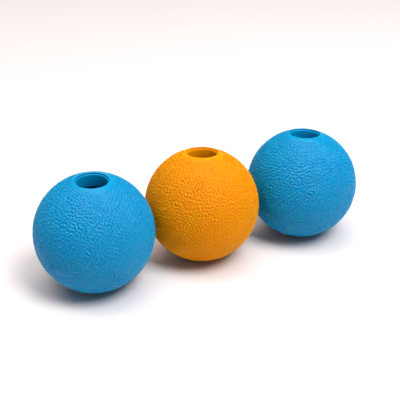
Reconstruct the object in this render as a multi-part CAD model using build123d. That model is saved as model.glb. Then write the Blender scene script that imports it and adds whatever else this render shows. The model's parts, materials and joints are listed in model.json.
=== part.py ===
"""A set of loose, hollow rubber balls with a wrinkled grain, lying in a row on a flat surface.

Each ball is two half-shells of solid rubber, cured together at the ball's own equator. The upper half
carries the mouth: a shallow round recess with a narrow flat ledge, and below the ledge a plain bore
through the thick wall into the round cavity. The lower half is a closed bowl.

Frame: millimetres, +Z up, X along the row, origin on the surface that the balls lie on, in the middle of
the row. The balls are loose, so each one lies with its mouth a few degrees off the vertical, and the
middle one lies a little behind the other two.
"""

from build123d import *

import math
import os

# Driving dimensions of one ball
ball_diameter = 64.0
wall_thickness = 7.9
recess_diameter = 17.5
recess_depth = 1.1
bore_diameter = 16.2

# Small rounds that the mould leaves on the mouth's edges
lip_round = 0.4
ledge_round = 0.25
inner_edge_round = 0.5

# The row: how far apart the balls lie along it, how far the middle one lies behind the other two, and
# how far each mouth leans from the vertical, in degrees
gap_between_balls = 1.0
row_bow = 2.6
leans = {
    # ball: (towards +X, towards +Y)
    "left_ball": (0.0, -2.7),
    "middle_ball": (2.1, 3.3),
    "right_ball": (2.6, 2.8),
}

# Worked out from the dimensions above, in a ball's own frame: origin at its centre, mouth along +Z
ball_radius = ball_diameter / 2
cavity_radius = ball_radius - wall_thickness
recess_radius = recess_diameter / 2
bore_radius = bore_diameter / 2
lip_height = math.sqrt(ball_radius**2 - recess_radius**2)
ledge_height = lip_height - recess_depth
bore_end_height = math.sqrt(cavity_radius**2 - bore_radius**2)
ball_spacing = ball_diameter + gap_between_balls
places = {
    "left_ball": (-ball_spacing, -row_bow / 2),
    "middle_ball": (0, row_bow / 2),
    "right_ball": (ball_spacing, -row_bow / 2),
}


def point_on_circle(radius, degrees_from_axis):
    """A point of the half section, as (distance from the ball's axis, height)."""
    turn = math.radians(degrees_from_axis)
    return (radius * math.sin(turn), radius * math.cos(turn))


def halfway_to_equator(rim_radius, rim_height):
    """The angle from the axis that lies midway along an arc from a rim down to the equator."""
    return (math.degrees(math.atan2(rim_radius, rim_height)) + 90) / 2


def revolved(outline):
    """Turns a closed outline in the XZ plane round the ball's axis into one solid."""
    section = make_face(Plane.XZ * Wire(outline))
    return revolve(section, Axis.Z, 360)


def rounded(solid, edge_radius, edge_height, size):
    """Rounds the one circular edge with that radius at that height."""
    near = 1e-3
    found = [
        edge
        for edge in solid.edges().filter_by(GeomType.CIRCLE)
        if abs(edge.radius - edge_radius) < near
        and abs(edge.center(CenterOf.BOUNDING_BOX).Z - edge_height) < near
    ]
    return fillet(found, size)


def upper_half():
    """The half-shell with the mouth: dome, recess, ledge, bore and the upper half of the cavity."""
    outer_mid = point_on_circle(ball_radius, halfway_to_equator(recess_radius, lip_height))
    inner_mid = point_on_circle(cavity_radius, halfway_to_equator(bore_radius, bore_end_height))
    outer_equator = (ball_radius, 0)
    inner_equator = (cavity_radius, 0)
    lip = (recess_radius, lip_height)
    ledge_outer = (recess_radius, ledge_height)
    ledge_inner = (bore_radius, ledge_height)
    bore_end = (bore_radius, bore_end_height)
    outline = [
        ThreePointArc(outer_equator, outer_mid, lip),
        Line(lip, ledge_outer),
        Line(ledge_outer, ledge_inner),
        Line(ledge_inner, bore_end),
        ThreePointArc(bore_end, inner_mid, inner_equator),
        Line(inner_equator, outer_equator),
    ]
    shell = revolved(outline)
    shell = rounded(shell, recess_radius, lip_height, lip_round)
    shell = rounded(shell, bore_radius, ledge_height, ledge_round)
    return rounded(shell, bore_radius, bore_end_height, inner_edge_round)


def lower_half():
    """The closed bowl under the equator."""
    outline = [
        ThreePointArc((ball_radius, 0), point_on_circle(ball_radius, 135), (0, -ball_radius)),
        Line((0, -ball_radius), (0, -cavity_radius)),
        ThreePointArc((0, -cavity_radius), point_on_circle(cavity_radius, 135), (cavity_radius, 0)),
        Line((cavity_radius, 0), (ball_radius, 0)),
    ]
    return revolved(outline)


def placed(half, ball):
    """Leans a half-shell as its ball leans, and sets it on the surface at the ball's place in the row."""
    towards_x, towards_y = leans[ball]
    along, across = places[ball]
    centre = Pos(along, across, ball_radius)
    return centre * Rot(Y=towards_x) * Rot(X=-towards_y) * half


def main():
    os.makedirs("parts", exist_ok=True)
    halves = {"upper_half": upper_half(), "lower_half": lower_half()}
    for ball in leans:
        for name, half in halves.items():
            export_step(placed(half, ball), f"parts/{ball}_{name}.step")


main()
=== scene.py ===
import json
import math
import random

import bmesh
import bpy
from mathutils import Matrix, Vector, noise


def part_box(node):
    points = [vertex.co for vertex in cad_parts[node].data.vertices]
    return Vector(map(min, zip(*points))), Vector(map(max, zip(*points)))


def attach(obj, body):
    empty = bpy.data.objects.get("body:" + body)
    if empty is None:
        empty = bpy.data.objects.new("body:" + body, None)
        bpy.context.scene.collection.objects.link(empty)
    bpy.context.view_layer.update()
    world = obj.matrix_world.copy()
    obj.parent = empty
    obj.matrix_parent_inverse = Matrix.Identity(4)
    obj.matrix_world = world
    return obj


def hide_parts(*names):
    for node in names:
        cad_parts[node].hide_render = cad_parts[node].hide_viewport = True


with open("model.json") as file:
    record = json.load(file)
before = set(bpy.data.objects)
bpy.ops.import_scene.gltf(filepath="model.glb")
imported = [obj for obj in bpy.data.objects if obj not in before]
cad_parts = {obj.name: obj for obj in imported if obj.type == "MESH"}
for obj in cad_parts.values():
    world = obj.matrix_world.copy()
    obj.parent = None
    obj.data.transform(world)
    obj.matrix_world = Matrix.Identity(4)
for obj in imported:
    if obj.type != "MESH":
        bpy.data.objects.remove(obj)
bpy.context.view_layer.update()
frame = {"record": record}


# ---------------------------------------------------------------------------------------------------
# The balls. Each is a thick, hollow ball of solid rubber, pressed and cured in a two-part mould whose
# walls are etched with a fine wrinkled grain, so no seam shows. A plain round mouth goes through the
# top: a smooth lip, a shallow recess with a narrow ledge, and a bore into the smooth, round cavity.

MM = 0.001                    # a millimetre in metres: the balls are made in millimetres
NEAR = 0.001                  # points this near to each other are the same point

BALL_RADIUS = 32.0
WALL = 7.9
RECESS_RADIUS = 8.75
RECESS_DEPTH = 1.1
LIP_ROUND = 0.4
LEDGE_ROUND = 0.25
BORE_END_ROUND = 0.5
ROUND_SEGMENTS = 4
COLLAR_RADIUS = 9.9           # where the turned mouth gives way to the grained skin
COLLAR_SEAM = 0.35            # the narrow band that joins the two
COLLAR_STEPS = 3
CAVITY_STEPS = 18
TURNED_STEPS = 144
SKIN_GRID = 126               # quads along a sixth of the skin, about 0.38 mm each
CUT_SNAP = 0.02               # points of the skin this near its cut edge are on it

GRAIN_PITCH = 1.45            # about how far it is from one ridge to the next
FINEST_RIPPLE = 0.7           # the shortest and the longest ripple, as parts of that pitch
BROADEST_RIPPLE = 1.4
GRAIN_WAVES = 48              # ripples that cross to make the grain, each in its own direction
GRAIN_DEPTH = 0.58            # from the ridges down to the valleys
GRAIN_SHARPNESS = 1.9         # how flat its ridges and valleys are, and how steep between them
GRAIN_FADE = 2.6              # how far the grain takes to reach its full depth beside the mouth
BEND_SIZE = 4.0               # from one bend of the ripples to the next
PATCH_SIZE = 5.0              # from a patch where the grain is sharp to one where it is soft
PATCHINESS = 0.8              # how much sharper and softer those patches are
BEND_SEED = 1                 # any number but 0, which would bend the ripples anew each time

mouths = {mount["name"]: mount for mount in frame["record"]["mounts"]}
bore_radius = mouths["middle_mouth"]["dims"]["r_mm"]
cavity_radius = BALL_RADIUS - WALL
collar_turn = math.asin(COLLAR_RADIUS / BALL_RADIUS)


def height_on(radius, out):
    """The height above a ball's centre of a sphere's point that lies that far out from the axis."""
    return math.sqrt(radius**2 - out**2)


lip_height = height_on(BALL_RADIUS, RECESS_RADIUS)
ledge_height = lip_height - RECESS_DEPTH
bore_end_height = height_on(cavity_radius, bore_radius)


def arc(radius, start, end, steps):
    """Points of an arc round the ball's centre in its half section, with angles from the mouth's axis."""
    turns = [start + (end - start) * step / steps for step in range(steps + 1)]
    return [Vector((radius * math.sin(turn), 0, radius * math.cos(turn))) for turn in turns]


def smooth_skin():
    """The outside, still smooth: a cube's grid, spread evenly on a sphere and cut off round the mouth."""
    bm = bmesh.new()
    bmesh.ops.create_cube(bm, size=2)
    bmesh.ops.subdivide_edges(bm, edges=bm.edges[:], cuts=SKIN_GRID - 1, use_grid_fill=True)
    for vert in bm.verts:
        even = Vector([math.tan(value * math.pi / 4) for value in vert.co])
        vert.co = even.normalized() * BALL_RADIUS
    cut_height = height_on(BALL_RADIUS, COLLAR_RADIUS + COLLAR_SEAM)
    bmesh.ops.bisect_plane(
        bm, geom=bm.verts[:] + bm.edges[:] + bm.faces[:], dist=CUT_SNAP,
        plane_co=(0, 0, cut_height), plane_no=(0, 0, 1), clear_outer=True,
    )
    return bm


def turned_mouth():
    """The inside and the mouth, turned in one from the cavity's floor up to the smooth collar."""
    outline = arc(cavity_radius, math.pi, math.atan2(bore_radius, bore_end_height), CAVITY_STEPS)
    outline += [Vector((bore_radius, 0, ledge_height)), Vector((RECESS_RADIUS, 0, ledge_height))]
    outline += arc(BALL_RADIUS, math.atan2(RECESS_RADIUS, lip_height), collar_turn, COLLAR_STEPS)
    bm = bmesh.new()
    verts = [bm.verts.new(point) for point in outline]
    edges = [bm.edges.new(pair) for pair in zip(verts, verts[1:])]
    bmesh.ops.spin(
        bm, geom=verts + edges, cent=(0, 0, 0), axis=(0, 0, 1), angle=2 * math.pi,
        steps=TURNED_STEPS, use_merge=True,
    )
    floor = [vert for vert in bm.verts if vert.co.xy.length < NEAR]
    bmesh.ops.remove_doubles(bm, verts=floor, dist=NEAR)
    for out, height, size in (
        (RECESS_RADIUS, lip_height, LIP_ROUND),
        (bore_radius, ledge_height, LEDGE_ROUND),
        (bore_radius, bore_end_height, BORE_END_ROUND),
    ):
        ring = [
            edge for edge in bm.edges
            if all(abs(v.co.z - height) < NEAR and abs(v.co.xy.length - out) < NEAR for v in edge.verts)
        ]
        bmesh.ops.bevel(
            bm, geom=ring, offset=size, offset_type="OFFSET", affect="EDGES",
            segments=ROUND_SEGMENTS, profile=0.5, material=-1,
        )
    return bm


turned = turned_mouth()
turned_mesh = bpy.data.meshes.new("turned_mouth")
turned.to_mesh(turned_mesh)
turned.free()
blank = smooth_skin()
blank.from_mesh(turned_mesh)
bpy.data.meshes.remove(turned_mesh)
bmesh.ops.bridge_loops(blank, edges=[edge for edge in blank.edges if edge.is_boundary])
bmesh.ops.recalc_face_normals(blank, faces=blank.faces[:])
for face in blank.faces:
    face.smooth = True


noise.seed_set(BEND_SEED)


def ripples(seed):
    """The ripples of one ball's grain: a direction, the radians a millimetre, and where it starts."""
    chance = random.Random(seed)
    waves = []
    for _ in range(GRAIN_WAVES):
        towards = Vector([chance.gauss(0, 1) for _ in range(3)]).normalized()
        pitch = GRAIN_PITCH * chance.uniform(FINEST_RIPPLE, BROADEST_RIPPLE)
        waves.append((towards, 2 * math.pi / pitch, chance.uniform(0, 2 * math.pi)))
    return waves


def grain(place, waves):
    """The height of the moulded grain at a point of the skin, from 0 in a valley to 1 on a ridge. A
    ripple counts where it runs along the skin, and dies out where it runs into it."""
    bent = place + noise.noise_vector(place / BEND_SIZE)
    swell = 0
    for towards, rate, start in waves:
        along = towards.dot(bent)
        flatness = 1 - (along / BALL_RADIUS) ** 2
        swell += flatness**2 * math.cos(rate * along + start)
    sharpness = GRAIN_SHARPNESS * (1 + PATCHINESS * noise.noise(place / PATCH_SIZE))
    return 0.5 + 0.5 * math.tanh(sharpness * swell / math.sqrt(GRAIN_WAVES))


def ball_centre(name):
    """The centre of a ball, in metres, one radius above the lowest point of its lower half."""
    low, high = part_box(name + "_lower_half")[0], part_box(name + "_upper_half")[1]
    return Vector(((low.x + high.x) / 2, (low.y + high.y) / 2, low.z + BALL_RADIUS * MM))


def ball(name, mouth, waves):
    """One finished ball: the blank with its grain, leaned and placed as its mouth's axis says. It
    carries two values for its rubber: "grain", from 0 in the valley floors to 1 on the ridges, and also 0
    in the bore, the cavity and the recess's inner corner, which so take the valley colour as painted
    shade; and "etched", from 0 on the smooth parts to 1 on the etched skin."""
    bm = blank.copy()
    grain_and_shade = bm.verts.layers.float.new("grain")
    etched = bm.verts.layers.float.new("etched")
    for vert in bm.verts:
        # Painted shade: the bore, the cavity and the recess's inner corner get 0, the valley colour, as
        # shade painted into these hollows.
        painted_shade_inside = vert.co.length < ledge_height - LEDGE_ROUND
        painted_shade_corner = abs(vert.co.z - ledge_height) < NEAR and abs(vert.co.xy.length - RECESS_RADIUS) < NEAR
        vert[grain_and_shade] = 0 if painted_shade_inside or painted_shade_corner else 1
        beside_mouth = BALL_RADIUS * (vert.co.angle((0, 0, 1)) - collar_turn)
        if vert.co.length > BALL_RADIUS - NEAR and beside_mouth > COLLAR_SEAM:
            fade = min((beside_mouth - COLLAR_SEAM) / GRAIN_FADE, 1)
            vert[etched] = fade
            vert[grain_and_shade] = 1 - fade * (1 - grain(vert.co, waves))
            vert.co *= 1 - GRAIN_DEPTH * (1 - vert[grain_and_shade]) / BALL_RADIUS

    lean = Vector((0, 0, 1)).rotation_difference(Vector(mouth["axis"])).to_matrix().to_4x4()
    place = Matrix.Translation(ball_centre(name)) @ lean @ Matrix.Scale(MM, 4)
    bmesh.ops.transform(bm, matrix=place, verts=bm.verts[:])
    mesh = bpy.data.meshes.new(name)
    bm.to_mesh(mesh)
    bm.free()
    piece = bpy.data.objects.new(name, mesh)
    bpy.context.scene.collection.objects.link(piece)
    return piece


def colour(hex_value):
    """Turns an sRGB hex colour into the linear colour that a shader takes."""
    channels = [int(hex_value[i:i + 2], 16) / 255 for i in (1, 3, 5)]
    linear = [c / 12.92 if c <= 0.04045 else ((c + 0.055) / 1.055) ** 2.4 for c in channels]
    return (*linear, 1)


def add(tree, kind, settings=None, links=None):
    """Adds a node, with its settings by name or by input, and its inputs' links."""
    node = tree.nodes.new(kind)
    for key, value in (settings or {}).items():
        if key in node.inputs:
            node.inputs[key].default_value = value
        else:
            setattr(node, key, value)
    for key, source in (links or {}).items():
        tree.links.new(source, node.inputs[key])
    return node


CLOUD_SIZE = 18.0             # from one cloud of the pigment to the next
GRIT_SIZE = 0.6               # the mould's matt tooth, drawn several times as coarse as it is to show
GRIT_HEIGHT = 0.08
GRIT_STRENGTH = 0.25
EDGE_HEIGHT = 0.1             # crispens the edges of the ridges, whose height is in the mesh already
RUBBER_IOR = 1.5


def moulded_rubber(name, ridges, valley_shade, clouds, shine, ridge_matt, valley_matt, glow):
    """Vulcanised rubber, coloured right through, with the satin skin that an etched mould leaves. The
    ridges are smoother than the valley floors, which are painted darker as painted shade, the pigment
    is a little cloudy, and light goes in as far as glow says, in millimetres for red, green and blue."""
    material = bpy.data.materials.new(name)
    material.use_nodes = True
    tree = material.node_tree
    tree.nodes.clear()
    where = add(tree, "ShaderNodeTexCoord").outputs["Object"]
    height = add(tree, "ShaderNodeAttribute", {"attribute_name": "grain"}).outputs["Fac"]
    etched = add(tree, "ShaderNodeAttribute", {"attribute_name": "etched"}).outputs["Fac"]

    # Painted shade: the valley colour darkens the hollows of the grain, and the bore, the cavity and the
    # recess's inner corner, where shade falls.
    painted_valley_shade = add(tree, "ShaderNodeMix", {"data_type": "RGBA"}, {0: height})
    painted_valley_shade.inputs[6].default_value = colour(valley_shade)
    painted_valley_shade.inputs[7].default_value = colour(ridges)
    cloud = add(
        tree, "ShaderNodeTexNoise", {"Scale": 1 / (CLOUD_SIZE * MM), "Detail": 3.0}, {"Vector": where}
    )
    pigment = add(
        tree, "ShaderNodeMix", {"data_type": "RGBA"}, {0: cloud.outputs["Fac"], 6: painted_valley_shade.outputs[2]}
    )
    pigment.inputs[7].default_value = colour(clouds)

    skin_matt = add(
        tree, "ShaderNodeMapRange", {"To Min": valley_matt, "To Max": ridge_matt}, {"Value": height}
    )
    matt = add(
        tree, "ShaderNodeMapRange", {"To Min": ridge_matt},
        {"Value": etched, "To Max": skin_matt.outputs[0]},
    )

    edges = add(tree, "ShaderNodeBump", {"Strength": 1.0, "Distance": EDGE_HEIGHT * MM}, {"Height": height})
    grit = add(
        tree, "ShaderNodeTexNoise", {"Scale": 1 / (GRIT_SIZE * MM), "Detail": 2.0}, {"Vector": where}
    )
    surface = add(
        tree, "ShaderNodeBump", {"Strength": GRIT_STRENGTH, "Distance": GRIT_HEIGHT * MM},
        {"Height": grit.outputs["Fac"], "Normal": edges.outputs[0]},
    )
    shader = add(
        tree, "ShaderNodeBsdfPrincipled",
        {"IOR": RUBBER_IOR, "Specular IOR Level": shine,
         "Subsurface Weight": 1.0, "Subsurface Radius": glow, "Subsurface Scale": MM},
        {"Base Color": pigment.outputs[2], "Roughness": matt.outputs[0], "Normal": surface.outputs[0]},
    )
    add(tree, "ShaderNodeOutputMaterial", {}, {"Surface": shader.outputs[0]})
    return material


rubbers = {
    # Blue rubber, moulded: a clear sky blue with a soft satin shine on its ridges, and a darker painted
    # shade in the hollows of its grain.
    "blue_rubber": moulded_rubber(
        "moulded_blue_rubber", ridges="#009CC8", valley_shade="#006EA4", clouds="#0087B8",
        shine=0.19, ridge_matt=0.36, valley_matt=0.48, glow=(0.2, 0.3, 0.7),
    ),
    # Orange rubber, moulded: a warm yellow orange, duller than the blue, with a darker, redder painted
    # shade in the hollows of its grain, and shaded edges that turn redder, as red light goes furthest into
    # it.
    "orange_rubber": moulded_rubber(
        "moulded_orange_rubber", ridges="#DC9C00", valley_shade="#BE5800", clouds="#D78A00",
        shine=0.1, ridge_matt=0.42, valley_matt=0.56, glow=(1.2, 0.2, 0.1),
    ),
}
rubber_of = {"left_ball": "blue_rubber", "middle_ball": "orange_rubber", "right_ball": "blue_rubber"}

for number, (name, rubber) in enumerate(rubber_of.items()):
    piece = ball(name, mouths[name.replace("_ball", "_mouth")], ripples(number))
    piece.data.materials.append(rubbers[rubber])
    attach(piece, name)
    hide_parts(name + "_upper_half", name + "_lower_half")
blank.free()


# ---------------------------------------------------------------------------------------------------
# The camera. It looks at the middle ball from the left front end of the row, almost half a metre away
# and a little above, with a long lens, so the balls stand in a rising line. Its sizes are in metres.

CAMERA_TURN = math.radians(-27.65)
CAMERA_RISE = math.radians(26.7)
CAMERA_DISTANCE = 0.4504
CAMERA_ASIDE = -0.0010        # small shifts that centre the row in the view
CAMERA_LIFT = 0.0022
LENS = 72.3                   # in millimetres, as is the sensor
SENSOR = 36.0

middle = ball_centre("middle_ball")
back = Vector((
    math.sin(CAMERA_TURN) * math.cos(CAMERA_RISE),
    -math.cos(CAMERA_TURN) * math.cos(CAMERA_RISE),
    math.sin(CAMERA_RISE),
))
right = Vector((math.cos(CAMERA_TURN), math.sin(CAMERA_TURN), 0))
lens = bpy.data.cameras.new("camera")
lens.lens = LENS
lens.sensor_width = SENSOR
camera = bpy.data.objects.new("camera", lens)
camera.location = middle + back * CAMERA_DISTANCE + right * CAMERA_ASIDE + back.cross(right) * CAMERA_LIFT
camera.rotation_euler = back.to_track_quat("Z", "Y").to_euler()
bpy.context.scene.collection.objects.link(camera)
bpy.context.scene.camera = camera


# ---------------------------------------------------------------------------------------------------
# The studio. A plain, pale floor of matt paper in a dim, even room, with three softboxes: a large one
# overhead, a small bright one high at the front right, and a slightly warm one that fills the left.

FLOOR_SIZE = 12.0             # in metres
ROOM_LIGHT = 0.15

bm = bmesh.new()
bmesh.ops.create_grid(bm, x_segments=1, y_segments=1, size=FLOOR_SIZE / 2)
mesh = bpy.data.meshes.new("floor")
bm.to_mesh(mesh)
bm.free()
floor = bpy.data.objects.new("floor", mesh)
bpy.context.scene.collection.objects.link(floor)

# Uncoated white paper: almost no shine, so the eye sees only its pale tone and the soft shadows.
matt_paper = bpy.data.materials.new("matt_white_paper")
matt_paper.use_nodes = True
paper = matt_paper.node_tree.nodes["Principled BSDF"]
paper.inputs["Base Color"].default_value = colour("#E3DEDE")
paper.inputs["Roughness"].default_value = 0.9
paper.inputs["Specular IOR Level"].default_value = 0.1
mesh.materials.append(matt_paper)

room = bpy.data.worlds.new("room")
room.use_nodes = True
walls = room.node_tree.nodes["Background"]
walls.inputs["Color"].default_value = colour("#FFFFFF")
walls.inputs["Strength"].default_value = ROOM_LIGHT
bpy.context.scene.world = room


def soft_light(name, turn, rise, distance, size, power, tint="#FFFFFF"):
    """A square softbox that faces the middle ball. Its turn is from the camera's side, to the right."""
    turn, rise = CAMERA_TURN + math.radians(turn), math.radians(rise)
    towards = Vector((
        math.sin(turn) * math.cos(rise), -math.cos(turn) * math.cos(rise), math.sin(rise)
    ))
    lamp = bpy.data.lights.new(name, "AREA")
    lamp.shape = "SQUARE"
    lamp.size = size
    lamp.energy = power
    lamp.color = colour(tint)[:3]
    light = bpy.data.objects.new(name, lamp)
    light.location = middle + towards * distance
    light.rotation_euler = towards.to_track_quat("Z", "Y").to_euler()
    bpy.context.scene.collection.objects.link(light)


soft_light("overhead_softbox", turn=0, rise=90, distance=3.0, size=2.2, power=63.0)
soft_light("front_right_softbox", turn=45, rise=57, distance=1.4, size=0.6, power=19.0)
soft_light("left_softbox", turn=-90, rise=60, distance=3.0, size=1.2, power=19.0, tint="#FFE8DA")

bpy.context.scene.view_settings.view_transform = "Standard"
